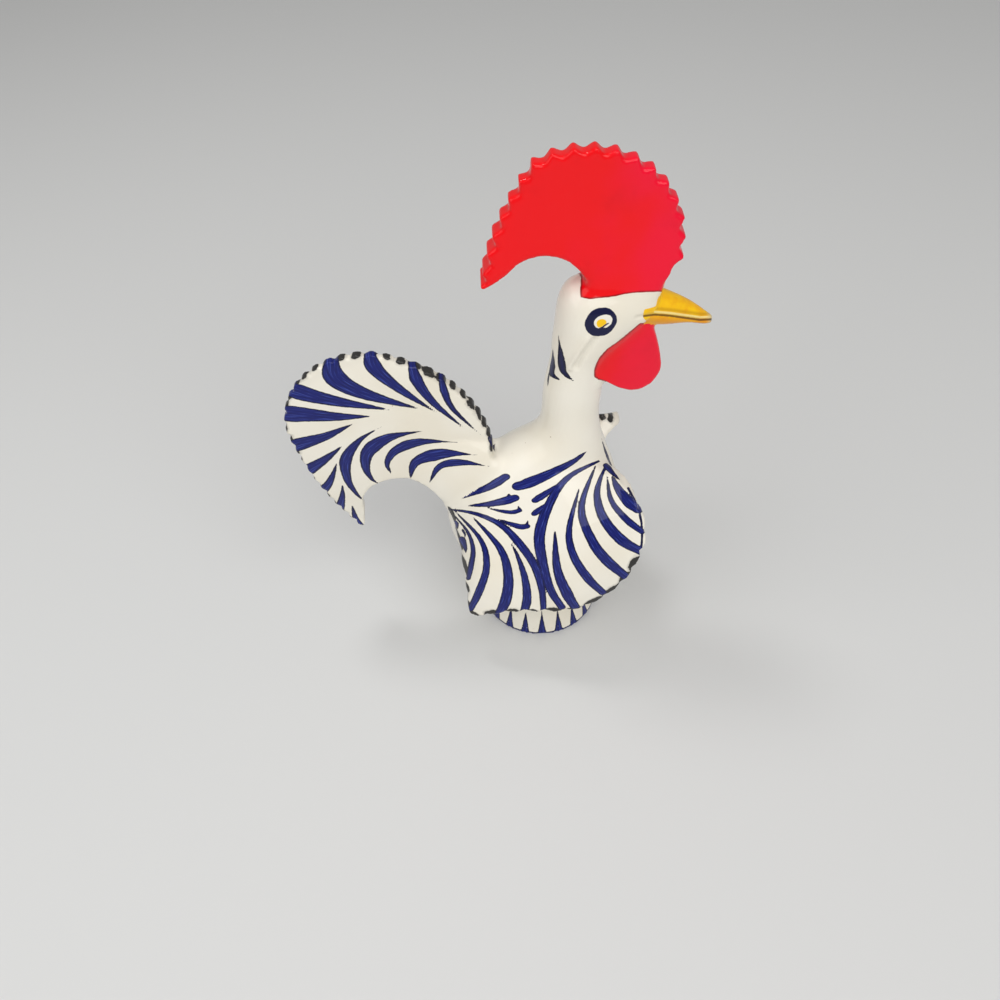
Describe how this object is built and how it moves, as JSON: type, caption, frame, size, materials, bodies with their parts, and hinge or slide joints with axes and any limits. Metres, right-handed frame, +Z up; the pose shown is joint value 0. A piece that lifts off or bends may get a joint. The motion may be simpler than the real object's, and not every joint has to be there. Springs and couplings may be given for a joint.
{
  "type": "rooster ornament",
  "caption": "Glazed earthenware rooster ornament standing on a round foot, with a notched red comb, scalloped hooked tail, flared wings and blue brush-stroke feathers.",
  "frame": {"origin": "middle of the round foot, on the surface that the rooster stands on", "axes": "+X forward towards the beak, +Y to the bird's left, +Z up"},
  "size_m": [0.1899, 0.0986, 0.26],
  "materials": {
    "white_glaze": "glossy cream-white glaze with cobalt blue brush strokes",
    "red_glaze": "glossy red glaze",
    "yellow_glaze": "glossy yellow glaze"
  },
  "bodies": {
    "root": {"foot": "white_glaze", "body": "white_glaze", "neck": "white_glaze", "head": "white_glaze", "comb": "red_glaze", "upper_beak": "yellow_glaze", "lower_beak": "yellow_glaze", "wattle": "red_glaze", "tail": "white_glaze", "right_wing": "white_glaze", "left_wing": "white_glaze"}
  },
  "joints": []
}
